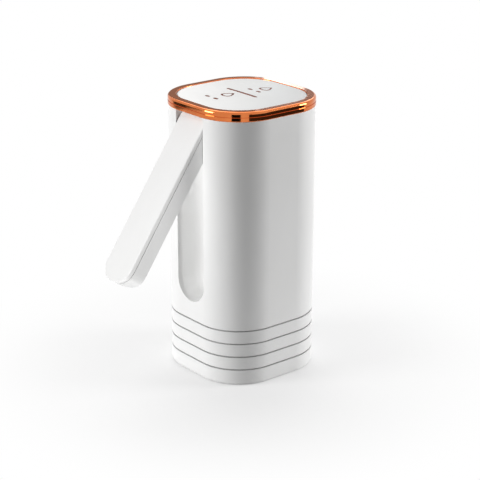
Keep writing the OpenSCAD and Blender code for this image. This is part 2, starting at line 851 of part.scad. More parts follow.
// Crowned plate that rocks on two pins and presses one switch or the other
module button_panel() {
    color("snow") {
        intersection() {
            rounded_block(panel_half, panel_r, panel_z, panel_t + panel_crown);
            rotate_extrude() polygon(concat(
                [[0, panel_z], [crown_r, panel_z]],
                    [for (k = [crown_rings:-1:0]) crown_point(k / crown_rings)]
            ));
        }
        for (s = [-1, 1]) translate([s * switch_x, 0, button_top + press_gap])
            cylinder(r = button_r + 0.5, h = panel_z + panel_t / 2 - button_top - press_gap);
        for (s = [0, 1]) mirror([0, s, 0]) {
            along_y(lug_y, lug_y + lug_t) {
                translate([-ear_w / 2, pivot_z]) square([ear_w, panel_z + panel_t / 2 - pivot_z]);
                translate([0, pivot_z]) circle(ear_w / 2);
            }
            along_y(ear_y - 0.3, lug_y + lug_t / 2) translate([0, pivot_z]) circle(pivot_r);
        }
    }
}

// Spout arm, drawn folded and then opened

// Outline of the arm seen from outside
module arm_face(inset) {
    w = arm_half - inset;
    r = tip_r - inset;
    low = arm_tip + inset;
    high = hinge_z + knuckle_r;
    translate([-w, low + r]) square([2 * w, high - low - r]);
    translate([r - w, low]) square([2 * (w - r), high - low]);
    for (s = [-1, 1]) translate([s * (w - r), low + r]) circle(r);
}

// Outline of the arm seen from the side, with its round knuckle
module arm_side() {
    translate([hinge_x, hinge_z]) circle(knuckle_r);
    difference() {
        translate([-half, arm_tip]) square([arm_t, hinge_z - arm_tip]);
        translate([arm_back, arm_tip]) mirror([0, 1]) corner_cut(nose_r);
        translate([-half, arm_tip]) rotate(180) corner_cut(edge_round);
    }
}

// Section across the arm, with rounded long edges
module arm_section() {
    depth = 2 * knuckle_r;
    difference() {
        translate([-half, -arm_half]) square([depth, arm_w]);
        for (s = [0, 1]) mirror([0, s]) translate([-half, arm_half]) mirror([1, 0]) corner_cut(edge_round);
    }
}

// The whole arm's outer form, cover and shell together
module arm_form() {
    intersection() {
        along_x(-half - over, half) arm_face(0);
        along_y(-arm_half, arm_half) arm_side();
        translate([0, 0, arm_tip - over]) linear_extrude(arm_len + knuckle_r + 2 * over) arm_section();
    }
}

// Outline of the hollow in the arm, seen from outside
module arm_cavity() {
    intersection() {
        arm_face(arm_wall);
        translate([-arm_half, cavity_low]) square([arm_w, cavity_top - cavity_low]);
    }
}

// Side of the core that the shell puts round the hinge, behind the cover's face
module core_side(grow) {
    r = core_r + grow;
    translate([hinge_x, hinge_z]) circle(r);
    translate([hinge_x - r, cavity_top - grow]) square([r, hinge_z - cavity_top + grow]);
}

module arm_cover() {
    color("white") opened() difference() {
        intersection() {
            arm_form();
            along_x(-half - over, cover_t - half) arm_face(0);
        }
        along_x(cover_skin - half, cover_t - half + over) arm_cavity();
        along_y(-core_y - slip, core_y + slip) core_side(slip);
    }
}

module arm_body() {
    gland = seal_cord + 2 * slip;
    color("white") opened() difference() {
        union() {
            intersection() {
                arm_form();
                along_x(shell_x, half) arm_face(0);
            }
            intersection() {
                arm_form();
                along_x(cover_t - half, shell_x + over) arm_face(seam);
                along_y(seam - arm_half, arm_half - seam) arm_side();
            }
            along_y(-core_y, core_y) core_side(0);
        }
        // Hollow for the water tube, open under the cover
        along_x(cover_t - half - over, arm_back - arm_wall) arm_cavity();
        translate([0, 0, nozzle_z]) rotate([0, 90, 0]) translate([0, 0, cover_t - half])
            cylinder(r = nozzle_r + slip, h = arm_t);
        on_hinge(axle_r + slip, -arm_half - over, arm_half + over);
        on_hinge(chamber_r, -chamber_y, chamber_y);
        for (s = [-1, 1]) on_hinge(seal_mid + gland / 2, s * seal_y - gland / 2, s * seal_y + gland / 2);
        translate([tube_x, 0, cavity_top - over]) cylinder(r = tube_r + slip, h = over + socket_t);
        translate([tube_x, 0, cavity_top]) cylinder(r = tube_bore, h = knuckle_r);
    }
}

module arm_tube() {
    low = nozzle_z + nozzle_r - socket_t;
    color("lightgrey") opened() translate([tube_x, 0, 0])
        tube(tube_r, tube_bore, low, cavity_top + socket_t - slip - low);
}

// Nozzle with a closed outer end and a socket for the tube in its side
module spout_nozzle() {
    color("silver") opened() difference() {
        translate([nozzle_x, 0, nozzle_z]) rotate([0, 90, 0])
            cylinder(r = nozzle_r, h = arm_back - nozzle_x);
        translate([nozzle_x + socket_t, 0, nozzle_z]) rotate([0, 90, 0])
            cylinder(r = nozzle_bore, h = arm_t);
        translate([tube_x, 0, nozzle_z + nozzle_r - socket_t - slip])
            cylinder(r = tube_r + slip, h = nozzle_r);
        translate([tube_x, 0, nozzle_z]) cylinder(r = tube_bore, h = nozzle_r + over);
    }
}

// Perforated disc inside the nozzle
module nozzle_screen() {
    hole = nozzle_bore / 7;
    color("silver") opened() translate([arm_back - screen_in - screen_t, 0, nozzle_z]) rotate([0, 90, 0])
        difference() {
        cylinder(r = nozzle_bore - slip, h = screen_t);
        translate([0, 0, -over]) cylinder(r = hole, h = screen_t + 2 * over);
        for (k = [0:5]) rotate(60 * k) translate([nozzle_bore * 0.55, 0, -over])
            cylinder(r = hole, h = screen_t + 2 * over);
    }
}

// Hinge and water path

// Hollow axle: it is fed from its -Y end and opens into the knuckle through four ports
module hinge_axle() {
    color("silver") difference() {
        on_hinge(axle_r, -axle_end, side_y);
        on_hinge(axle_bore / 2, -axle_end - over, chamber_y);
        translate([hinge_x, 0, hinge_z]) for (a = [0:90:270]) rotate([0, a, 0])
            cylinder(r = axle_bore / 4, h = axle_d);
    }
}

module hinge_seals() {
    color("dimgray") opened() for (s = [-1, 1]) translate([hinge_x, s * seal_y, hinge_z]) rotate([90, 0, 0])
        rotate_extrude() translate([seal_mid + slip / 2, 0]) circle(seal_cord / 2 - slip / 2);
}

// Elbow behind the recess's side wall: from the axle's end, back, and down to a hose stub
module hinge_elbow() {
    back = elbow_x + elbow_r;
    outer_y = elbow_y - elbow_r + 1.8;
    cross_r = axle_bore * 0.4;
    color("whitesmoke") difference() {
        union() {
            intersection() {
                union() {
                    on_hinge(elbow_r, outer_y, -side_y);
                    translate([hinge_x, outer_y, elbow_z])
                        cube([back - hinge_x, -side_y - outer_y, 2 * elbow_r]);
                }
                rounded_block(frame_half, frame_r, elbow_z - over, 2 * elbow_r + 2 * over);
            }
            translate([elbow_x, elbow_y, elbow_z - stub_len]) cylinder(r = stub_r, h = stub_len + elbow_r);
        }
        on_hinge(axle_r + slip, -axle_end - slip, -side_y + over);
        on_hinge(axle_bore / 2, elbow_y - cross_r, -side_y);
        translate([hinge_x, elbow_y, hinge_z]) rotate([0, 90, 0])
            cylinder(r = cross_r, h = elbow_x - hinge_x);
        translate([elbow_x, elbow_y, elbow_z - stub_len - over])
            cylinder(r = stub_bore / 2, h = stub_len + over + elbow_r + cross_r + play);
    }
}

module inlet_hose() {
    color("lavender") tube(hose_r, hose_bore / 2, flange_top, pump_z - flange_top);
}

// Outlet hose: straight up from the pump, through two equal bends, and up to the elbow
module outlet_hose() {
    shift = [elbow_x, elbow_y] - outlet_at;
    gap = norm(shift);
    turn = acos(1 - gap / (2 * hose_bend));
    low = (cover_top + elbow_z) / 2 - hose_bend * sin(turn);
    high = low + 2 * hose_bend * sin(turn);
    color("lavender") translate(outlet_at) rotate(atan2(shift[1], shift[0])) {
        tube(hose_r, hose_bore / 2, cover_top, low - cover_top);
        translate([hose_bend, 0, low]) rotate([90, 0, 0]) rotate(180 - turn)
            rotate_extrude(angle = turn) translate([hose_bend, 0]) annulus(hose_r, hose_bore / 2);
        translate([gap - hose_bend, 0, high]) rotate([90, 0, 0]) rotate(-turn)
            rotate_extrude(angle = turn) translate([hose_bend, 0]) annulus(hose_r, hose_bore / 2);
        translate([gap, 0]) tube(hose_r, hose_bore / 2, high, elbow_z - high);
    }
}

// Inside

// Deck on the inlet well, with a tower for the pump and a cradle for the cell
module chassis() {
    window = 2 * hose_r + 3;
    color("darkgray") difference() {
        union() {
            translate([0, 0, well_top]) linear_extrude(deck_t) {
                circle(well_out);
                translate(pump_at) circle(tower_out);
                translate(cell_at) circle(cradle_out);
                for (p = chassis_posts) translate(p) circle(ear_out);
            }
            translate(pump_at) {
                tube(tower_out, tower_in, well_top, pump_z + tower_h - well_top);
                tube(tower_out, tower_in - shelf_w, pump_z - 2 * shelf_w, 2 * shelf_w);
            }
            translate(cell_at) tube(cradle_out, cradle_in, well_top, deck_t + cradle_h);
        }
        // Room for the trough of the arm and for the inlet
        recess_form(recess_wall + play, body_top);
        translate([0, 0, well_top - over]) cylinder(r = flange_d / 2 + play, h = deck_t + 2 * over);
        translate([0, 0, deck_top]) cylinder(r = hose_r + 0.5, h = pump_lift + over);
        // The tower is open for the outlet, and the cradle is open towards the back
        translate([pump_x, pump_y, pump_z - 2 * shelf_w - over]) rotate(outlet_dir)
            translate([0, -window / 2, 0])
            cube([tower_out + over, window, tower_h + 2 * shelf_w + 2 * over]);
        translate([cell_x, cell_y - cell_r / 2, deck_top])
            cube([cradle_out + over, cell_r, cradle_h + over]);
        // Windows that lighten the tower between its feet
        for (a = [10, 130, 250]) translate([pump_x, pump_y, deck_top + shelf_w]) rotate(a)
            translate([0, -window / 2, 0])
            cube([tower_out + over, window, pump_lift - 4 * shelf_w]);
        for (p = chassis_posts) translate([p[0], p[1], well_top - over])
            cylinder(r = hole_r, h = deck_t + 2 * over);
    }
}

// Cell with a rolled groove near its top and a raised terminal
module battery_cell() {
    groove = 0.5;
    shoulder = 0.8;
    terminal_r = 3.2;
    terminal = 1;
    top = cell_len - terminal;
    color("steelblue") translate([cell_x, cell_y, deck_top]) rotate_extrude() {
        difference() {
            square([cell_r, top]);
            translate([cell_r, 0]) mirror([0, 1]) corner_cut(shoulder);
            translate([cell_r, top]) corner_cut(shoulder);
            translate([cell_r, top - 4]) circle(groove);
        }
        square([terminal_r, cell_len]);
    }
}

// Pump head, from its cover up to its case

module at_pump(z) {
    translate([pump_x, pump_y, z]) children();
}

module bolt_holes(z, h, r) {
    for (a = pump_bolts) at_pump(z) rotate(a) translate([bolt_out, 0]) cylinder(r = r, h = h);
}

// Cover with the inlet stub below and the outlet stub standing on an ear
module pump_cover() {
    passage = stub_bore / 2;
    cross_r = passage * 0.8;
    cross_z = pump_z + cover_disc_t / 2;
    blind_z = cross_z - passage;
    color("black") difference() {
        union() {
            translate([0, 0, pump_z]) linear_extrude(cover_disc_t) {
                translate(pump_at) circle(pump_r);
                translate(pump_at) rotate(outlet_dir) translate([0, -hose_r])
                    square([outlet_out, 2 * hose_r]);
                translate(outlet_at) circle(hose_r);
            }
            translate([outlet_at[0], outlet_at[1], cross_z])
                cylinder(r = stub_r, h = cover_disc_t / 2 + stub_len);
            translate([0, 0, pump_z - stub_len]) cylinder(r = stub_r, h = stub_len + cover_disc_t / 2);
        }
        translate([0, 0, pump_z - stub_len - over])
            cylinder(r = passage, h = stub_len + cover_disc_t + 2 * over);
        translate([outlet_at[0], outlet_at[1], blind_z]) cylinder(r = passage, h = cover_disc_t + stub_len);
        at_pump(blind_z) cylinder(r = passage, h = cover_disc_t);
        at_pump(cross_z) rotate(outlet_dir) rotate([0, 90, 0]) cylinder(r = cross_r, h = outlet_out);
        bolt_holes(pump_z - over, cover_disc_t + 2 * over, hole_r);
        bolt_holes(pump_z - over, head_h + over + slip, head_r + slip);
    }
}

// Plate with a ring of inlet ports and a group of outlet ports
module valve_plate() {
    port = 0.8;
    color("ivory") difference() {
        at_pump(cover_top) cylinder(r = pump_r, h = valve_t);
        bolt_holes(cover_top - over, valve_t + 2 * over, hole_r);
        for (k = [0:2]) at_pump(cover_top - over) rotate(pump_bolts[0] + 60 + 120 * k) {
            translate([cup_out / 2, 0]) cylinder(r = port, h = valve_t + 2 * over);
            for (s = [-1, 1]) translate([cup_out + port, s * 2 * port])
                cylinder(r = port, h = valve_t + 2 * over);
        }
    }
}

// Rubber sheet with three hollow cups, each with a stem
module diaphragm() {
    skin = 0.9;
    color("dimgray") difference() {
        union() {
            at_pump(valve_top) cylinder(r = pump_r, h = diaphragm_t);
            for (k = [0:2]) at_pump(valve_top) rotate(pump_bolts[0] + 60 + 120 * k)
                translate([cup_out, 0]) {
                cylinder(r = cup_r, h = diaphragm_t + cup_h);
                cylinder(r = cup_r / 3, h = spider_z - valve_top);
            }
        }
        bolt_holes(valve_top - over, diaphragm_t + 2 * over, hole_r);
        for (k = [0:2]) at_pump(valve_top - over) rotate(pump_bolts[0] + 60 + 120 * k)
            translate([cup_out, 0])
            cylinder(r = cup_r - skin, h = over + diaphragm_t + cup_h - skin);
    }
}

// Three-armed spider with the drive pin on top
module wobble_plate() {
    color("ivory") at_pump(spider_z) {
        cylinder(r = cup_r / 2 + 1, h = spider_t);
        for (k = [0:2]) rotate(pump_bolts[0] + 60 + 120 * k) {
            translate([0, -cup_r / 3, 0]) cube([cup_out, 2 * cup_r / 3, spider_t]);
            translate([cup_out, 0]) cylinder(r = cup_r / 2, h = spider_t);
        }
        cylinder(r = drive_pin_r, h = drive_pin_top - spider_z);
    }
}

module pump_case() {
    color("black") difference() {
        at_pump(flange_up) cylinder(r = pump_r, h = case_h);
        difference() {
            at_pump(flange_up - over) cylinder(r = pump_r - case_wall, h = case_h - case_wall + over);
            bolt_holes(flange_up - 2 * over, case_h + 2 * over, boss_r - 1);
        }
        at_pump(flange_up) cylinder(r = hub_r + 0.8, h = case_h + over);
        bolt_holes(flange_up - over, screw_bite + over + play, hole_r);
    }
}

// Drive hub: the off-centre hole in its lower face turns round the drive pin
module eccentric() {
    color("ivory") difference() {
        at_pump(hub_z) cylinder(r = hub_r, h = case_top - play - hub_z);
        at_pump(shaft_low) cylinder(r = shaft_r, h = case_h);
        at_pump(hub_z - over) translate([throw, 0])
            cylinder(r = drive_pin_r + throw + play, h = drive_pin_top + play + over - hub_z);
    }
}

module motor_shaft() {
    color("silver") at_pump(shaft_low) cylinder(r = shaft_r, h = motor_top + cap_t + 2 - shaft_low);
}

// Drawn can with a rounded shoulder and a bearing boss at its lower end
module motor_can() {
    shoulder = 1.5;
    color("silver") at_pump(0) rotate_extrude() {
        difference() {
            translate([motor_r - can_wall, case_top]) square([can_wall, motor_len]);
            translate([motor_r, case_top]) mirror([0, 1]) corner_cut(can_wall / 2);
        }
        translate([shaft_r + slip, case_top])
            square([motor_r - can_wall / 2 - shaft_r - slip - shoulder / 4, shoulder]);
        translate([shaft_r + slip, case_top]) square([shaft_r + can_wall, 2 * shoulder]);
    }
}

// Two arched magnets inside the can
module motor_magnets() {
    arch = 130;
    color("dimgray") at_pump(case_top + rotor_gap) for (a = [0, 180]) rotate(a - arch / 2)
        rotate_extrude(angle = arch) translate([magnet_in, 0])
            square([motor_r - can_wall - slip - magnet_in, rotor_len]);
}

// Slotted armature on the shaft, with its commutator above
module motor_rotor() {
    slot_w = 1.6;
    color("saddlebrown") at_pump(case_top + rotor_gap) difference() {
        union() {
            cylinder(r = magnet_in - 0.5, h = rotor_len);
            cylinder(r = 2 * shaft_r + 0.5, h = rotor_len + rotor_gap / 2);
        }
        translate([0, 0, -over]) cylinder(r = shaft_r, h = motor_len);
        for (k = [0:4]) rotate(72 * k) translate([magnet_in / 2, -slot_w / 2, -over])
            cube([magnet_in, slot_w, rotor_len + 2 * over]);
    }
}

module motor_end_cap() {
    bearing_r = 3;
    color("ivory") difference() {
        at_pump(motor_top) {
            cylinder(r = motor_r, h = cap_t);
            cylinder(r = bearing_r, h = cap_t + 1);
            translate([0, 0, -cap_t]) cylinder(r = motor_r - can_wall - slip, h = cap_t);
        }
        at_pump(motor_top - cap_t - over) cylinder(r = shaft_r + slip, h = 2 * cap_t + 2 + 2 * over);
    }
}

module motor_terminals() {
    tab_w = 2.4;
    tab_t = 0.6;
    color("goldenrod") for (s = [-1, 1]) at_pump(motor_top + cap_t)
        translate([s * motor_r / 2 - tab_t / 2, -tab_w / 2, 0]) cube([tab_t, tab_w, terminal_h]);
}

// Electronics

module control_board() {
    chip = [6, 6, 0.9];
    color("darkgreen") difference() {
        union() {
            translate([board_front, -board_w / 2, board_z])
                cube([board_back - board_front, board_w, board_t]);
            for (y = [-0.3, 0.28] * board_w)
                translate([-chip[0] / 2, y - chip[1] / 2, board_top - board_t / 2])
                cube(chip + [0, 0, board_t / 2]);
        }
        for (p = board_holes) translate([p[0], p[1], board_z - over])
            cylinder(r = hole_r, h = board_t + 2 * over);
    }
}

// Switch body with a well for its button
module switch_body(x) {
    color("black") difference() {
        translate([x - switch_w / 2, -switch_w / 2, board_top]) cube([switch_w, switch_w, switch_h]);
        translate([x, 0, switch_top - button_well]) cylinder(r = button_r + slip, h = button_well + over);
    }
}

module switch_button(x) {
    low = switch_top - button_well + 0.4;
    color("dimgray") translate([x, 0, low]) cylinder(r = button_r, h = button_top - low);
}

module left_switch() { switch_body(-switch_x); }
module right_switch() { switch_body(switch_x); }
module left_button() { switch_button(-switch_x); }
module right_button() { switch_button(switch_x); }

// Upright board in the housing's rails
module charge_board() {
    chip = [1, 5, 5];
    color("darkgreen") {
        translate([charge_x - board_t, -charge_w / 2, charge_z]) cube([board_t, charge_w, charge_h]);
        translate([charge_x - board_t / 2, -chip[1] / 2, charge_z + charge_h - 2 - chip[2]])
            cube(chip + [board_t / 2, 0, 0]);
    }
}

module usb_socket() {
    color("silver") translate([0, 0, usb_z]) difference() {
        along_x(charge_x, half - 0.3) stadium(usb_w, usb_h);
        along_x(charge_x + usb_len / 4, half) stadium(usb_w - 2 * usb_wall, usb_h - 2 * usb_wall);
    }
}

module usb_tongue() {
    tongue_w = usb_w - 2.4;
    tongue_t = 0.7;
    color("black") translate([charge_x + usb_len / 4, -tongue_w / 2, usb_z - tongue_t / 2])
        cube([usb_len * 0.6, tongue_w, tongue_t]);
}

// Fasteners

module base_screws() {
    color("silver") for (c = corners) translate(c * post_xy)
        translate([0, 0, screw_seat]) screw(plate_top + screw_bite - screw_seat);
}

module frame_screws() {
    color("silver") for (p = frame_holes) translate([p[0], p[1], floor_top]) rotate([180, 0, 0])
        screw(floor_t + screw_bite);
}

module board_screws() {
    color("silver") for (p = board_holes) translate([p[0], p[1], board_top]) rotate([180, 0, 0])
        screw(board_t + standoff_h + floor_t);
}

module chassis_screws() {
    color("silver") for (p = chassis_posts) translate([p[0], p[1], deck_top]) rotate([180, 0, 0])
        screw(deck_t + screw_bite);
}

module pump_screws() {
    color("silver") for (a = pump_bolts) at_pump(pump_z + head_h) rotate(a) translate([bolt_out, 0])
        screw(flange_up + screw_bite - pump_z - head_h);
}

// Leads up to the underside of the control board, through the window in the frame's floor

module motor_leads() {
    color("firebrick") for (s = [-1, 1]) {
        foot = [pump_x + s * motor_r / 2, pump_y, motor_top + cap_t + terminal_h];
        head = [wire_w * (2 + s) / 8, -wire_w / 4, board_z];
        lead([foot, foot + lead_rise, [head[0], -wire_w / 3, floor_z] - lead_rise, head - lead_rise, head]);
    }
}

module battery_leads() {
    foot = [cell_x, cell_y, deck_top + cell_len];
    side = [cell_x + cell_r + lead_d, cell_y, deck_top];
    low_head = [wire_w * 3 / 4, wire_w / 3, board_z];
    high_head = [wire_w * 5 / 12, wire_w / 3, board_z];
    color("crimson") {
        lead([
            foot, foot + lead_rise, [high_head[0], cell_y / 2, floor_z] - 2 * lead_rise,
            high_head - lead_rise, high_head
        ]);
        lead([
            side, side + [0, 0, cell_len / 2], side + [0, 0, cell_len],
            [low_head[0], wire_w / 2, floor_z] - 2 * lead_rise, low_head - lead_rise, low_head
        ]);
    }
}

module charge_leads() {
    color("firebrick") for (s = [-1, 1]) {
        foot = [charge_x - board_t / 2, s * charge_w / 6, charge_z + charge_h];
        head = [wire_w * 7 / 8, wire_w * (s / 10 - 1 / 6), board_z];
        lead([
            foot, foot + [0, 0, charge_h / 4], foot + [-usb_len / 2, 0, charge_h * 5 / 4],
            [head[0], wire_w * (s - 1) / 6, floor_z] - 2 * lead_rise, head - lead_rise, head
        ]);
    }
}

main_housing();
arm_bay();
base_collar();
socket_plate();
neck_gasket();
inlet_fitting();
inlet_seal();
top_frame();
trim_ring();
button_panel();
arm_cover();
arm_body();
arm_tube();
spout_nozzle();
nozzle_screen();
hinge_axle();
hinge_seals();
hinge_elbow();
inlet_hose();
outlet_hose();
chassis();
battery_cell();
pump_cover();
valve_plate();
diaphragm();
wobble_plate();
pump_case();
eccentric();
motor_shaft();
motor_can();
motor_magnets();
motor_rotor();
motor_end_cap();
motor_terminals();
control_board();
left_switch();
right_switch();
left_button();
right_button();
charge_board();
usb_socket();
usb_tongue();
base_screws();
frame_screws();
board_screws();
chassis_screws();
pump_screws();
motor_leads();
battery_leads();
charge_leads();
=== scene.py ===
"""Looks of the electric water jug pump: materials, printed marks, spout arm, studio and camera."""

import json
import math

import bmesh
import bpy
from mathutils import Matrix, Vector

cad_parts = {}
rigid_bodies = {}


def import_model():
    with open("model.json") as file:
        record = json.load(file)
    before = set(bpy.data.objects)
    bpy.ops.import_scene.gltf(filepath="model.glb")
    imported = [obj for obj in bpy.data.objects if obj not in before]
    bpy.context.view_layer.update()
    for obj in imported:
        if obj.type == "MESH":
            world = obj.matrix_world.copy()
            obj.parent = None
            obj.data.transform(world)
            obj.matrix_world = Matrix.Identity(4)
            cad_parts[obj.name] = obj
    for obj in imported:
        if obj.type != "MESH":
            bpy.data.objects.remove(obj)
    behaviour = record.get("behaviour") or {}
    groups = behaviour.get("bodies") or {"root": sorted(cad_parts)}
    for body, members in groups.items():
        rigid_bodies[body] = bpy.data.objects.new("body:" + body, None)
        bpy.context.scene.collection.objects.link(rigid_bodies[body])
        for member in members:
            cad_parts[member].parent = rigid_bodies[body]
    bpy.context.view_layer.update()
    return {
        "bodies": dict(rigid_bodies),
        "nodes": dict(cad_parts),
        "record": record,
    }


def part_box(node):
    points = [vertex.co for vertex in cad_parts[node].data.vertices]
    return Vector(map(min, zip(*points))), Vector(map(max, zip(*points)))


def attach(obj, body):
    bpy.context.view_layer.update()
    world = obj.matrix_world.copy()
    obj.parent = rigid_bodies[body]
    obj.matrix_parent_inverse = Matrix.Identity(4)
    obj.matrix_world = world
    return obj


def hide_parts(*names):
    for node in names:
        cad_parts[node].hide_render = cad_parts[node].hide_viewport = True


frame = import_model()
scene = bpy.context.scene
MM = 0.001


# Materials, with noise scales per metre

# Most of a noise lies between these values
NOISE_LOW, NOISE_HIGH = 0.3, 0.7
FLOW_SCALE = 55
FLOW_STRETCH = (1, 1, 0.35)
FLOW_LOW, FLOW_HIGH = 0.35, 0.65
GLOSS_SCALE = 240
GRAIN_DEPTH = 0.02 * MM
PLATING_DEPTH = 0.01 * MM
MARKS_TO_GLOSS = 0.6
BLOOM_SCALE = 160
DUST_SCALE = 500
RUBBER_GRAIN = 1800
RUBBER_STRENGTH = 0.08
RUBBER_DEPTH = 0.03 * MM
BOARD_GLOSS_SCALE = 300
WEAVE_SCALE = 420
WEAVE_STRENGTH = 0.1
# Reach and darkness of the shade painted into grooves and seams
PAINTED_SHADE_REACH = 1.2 * MM
PAINTED_SEAM_SHADE = 0.66
# Openness at which the painted seam shade is darkest, and from which a surface keeps its colour
SEAM_OPEN, FREE_OPEN = 0.3, 0.8
WHITE = ((0.868, 0.868, 0.862), (0.89, 0.89, 0.886))


def empty_material(name):
    """New material that has an output and nothing else; returns it with its tree and the output."""
    material = bpy.data.materials.new(name)
    material.use_nodes = True
    tree = material.node_tree
    tree.nodes.clear()
    return material, tree, tree.nodes.new("ShaderNodeOutputMaterial")


def shader(name):
    """New material with a Principled shader; returns it with its tree, shader and coordinates."""
    material, tree, out = empty_material(name)
    surface = tree.nodes.new("ShaderNodeBsdfPrincipled")
    tree.links.new(surface.outputs[0], out.inputs["Surface"])
    coords = tree.nodes.new("ShaderNodeTexCoord")
    return material, tree, surface, coords.outputs["Object"]


def noise(tree, coords, scale, detail=2.0, stretch=None):
    """Noise at a scale per metre, longer along an axis whose stretch is below 1."""
    if stretch:
        mapping = tree.nodes.new("ShaderNodeMapping")
        mapping.inputs["Scale"].default_value = stretch
        tree.links.new(coords, mapping.inputs["Vector"])
        coords = mapping.outputs["Vector"]
    texture = tree.nodes.new("ShaderNodeTexNoise")
    texture.inputs["Scale"].default_value = scale
    texture.inputs["Detail"].default_value = detail
    tree.links.new(coords, texture.inputs["Vector"])
    return texture.outputs["Fac"]


def ramp(tree, value, start, end):
    """Colour along a value, between two (place, colour) pairs."""
    node = tree.nodes.new("ShaderNodeValToRGB")
    for element, (place, colour) in zip(node.color_ramp.elements, (start, end)):
        element.position = place
        element.color = (*colour, 1.0)
    tree.links.new(value, node.inputs["Fac"])
    return node.outputs["Color"]


def span(tree, value, start, end, low, high):
    """Maps the stretch of a value from start to end to the range from low to high."""
    node = tree.nodes.new("ShaderNodeMapRange")
    node.inputs["From Min"].default_value = start
    node.inputs["From Max"].default_value = end
    node.inputs["To Min"].default_value = low
    node.inputs["To Max"].default_value = high
    tree.links.new(value, node.inputs["Value"])
    return node


def between(tree, value, low, high):
    """Maps a noise to a range."""
    return span(tree, value, NOISE_LOW, NOISE_HIGH, low, high).outputs["Result"]


def bump(tree, surface, height, strength, depth):
    """Roughens a shader's normal by a height."""
    node = tree.nodes.new("ShaderNodeBump")
    node.inputs["Strength"].default_value = strength
    node.inputs["Distance"].default_value = depth
    tree.links.new(height, node.inputs["Height"])
    tree.links.new(node.outputs["Normal"], surface.inputs["Normal"])


def painted_seam_shade(tree, colour, reach):
    """Paints shade into a colour in grooves and seams no wider than about the reach, darkest where they are
    least open.
    """
    hollow = tree.nodes.new("ShaderNodeAmbientOcclusion")
    hollow.inputs["Distance"].default_value = reach
    dark = (PAINTED_SEAM_SHADE, PAINTED_SEAM_SHADE, PAINTED_SEAM_SHADE)
    shade = ramp(tree, hollow.outputs["AO"], (SEAM_OPEN, dark), (FREE_OPEN, (1, 1, 1)))
    mix = tree.nodes.new("ShaderNodeMix")
    mix.data_type = "RGBA"
    mix.blend_type = "MULTIPLY"
    mix.inputs["Factor"].default_value = 1.0
    tree.links.new(colour, mix.inputs["A"])
    tree.links.new(shade, mix.inputs["B"])
    return mix.outputs["Result"]


def plastic(name, dark, light, rough, grain=2600, strength=0.03, coat=0.0, painted_shade_reach=0.0, gloss=0.5):
    """Moulded plastic: faint flow marks in the colour, uneven gloss and a fine tool grain, with shade
    painted into seams when a reach for it is given.
    """
    material, tree, surface, coords = shader(name)
    flow = noise(tree, coords, FLOW_SCALE, 3, FLOW_STRETCH)
    colour = ramp(tree, flow, (FLOW_LOW, dark), (FLOW_HIGH, light))
    # Painted shade in grooves and seams, from ambient occlusion
    if painted_shade_reach:
        colour = painted_seam_shade(tree, colour, painted_shade_reach)
    tree.links.new(colour, surface.inputs["Base Color"])
    uneven = noise(tree, coords, GLOSS_SCALE)
    tree.links.new(between(tree, uneven, *rough), surface.inputs["Roughness"])
    bump(tree, surface, noise(tree, coords, grain, 1), strength, GRAIN_DEPTH)
    surface.inputs["Specular IOR Level"].default_value = gloss
    surface.inputs["Coat Weight"].default_value = coat
    surface.inputs["Coat Roughness"].default_value = 0.06
    return material


def metal(name, dark, light, rough, stretch=(1, 1, 1), scale=900, strength=0.04):
    """Metal with drawn or plated surface marks."""
    material, tree, surface, coords = shader(name)
    surface.inputs["Metallic"].default_value = 1.0
    marks = noise(tree, coords, scale, 3, stretch)
    colour = ramp(tree, marks, (NOISE_LOW, dark), (NOISE_HIGH, light))
    tree.links.new(colour, surface.inputs["Base Color"])
    uneven = noise(tree, coords, scale * MARKS_TO_GLOSS, 2, stretch)
    tree.links.new(between(tree, uneven, *rough), surface.inputs["Roughness"])
    bump(tree, surface, marks, strength, PLATING_DEPTH)
    return material


def rubber(name, dark, light, rough, through=0.0):
    """Rubber or silicone: matt, with a dusty bloom, and partly clear where light passes through."""
    material, tree, surface, coords = shader(name)
    bloom = noise(tree, coords, BLOOM_SCALE, 4)
    colour = ramp(tree, bloom, (NOISE_LOW, dark), (NOISE_HIGH, light))
    tree.links.new(colour, surface.inputs["Base Color"])
    dust = noise(tree, coords, DUST_SCALE)
    tree.links.new(between(tree, dust, *rough), surface.inputs["Roughness"])
    bump(tree, surface, noise(tree, coords, RUBBER_GRAIN, 2), RUBBER_STRENGTH, RUBBER_DEPTH)
    surface.inputs["Transmission Weight"].default_value = through
    surface.inputs["Sheen Weight"].default_value = 0.15
    return material


def laminate(name):
    """Circuit board: green mask over a faint glass weave."""
    material, tree, surface, coords = shader(name)
    weave = tree.nodes.new("ShaderNodeTexBrick")
    weave.inputs["Scale"].default_value = WEAVE_SCALE
    weave.inputs["Mortar Size"].default_value = 0.06
    weave.inputs["Color1"].default_value = (0.012, 0.115, 0.045, 1)
    weave.inputs["Color2"].default_value = (0.016, 0.14, 0.055, 1)
    weave.inputs["Mortar"].default_value = (0.03, 0.2, 0.085, 1)
    tree.links.new(coords, weave.inputs["Vector"])
    tree.links.new(weave.outputs["Color"], surface.inputs["Base Color"])
    uneven = noise(tree, coords, BOARD_GLOSS_SCALE)
    tree.links.new(between(tree, uneven, 0.25, 0.4), surface.inputs["Roughness"])
    bump(tree, surface, weave.outputs["Fac"], WEAVE_STRENGTH, GRAIN_DEPTH)
    return material


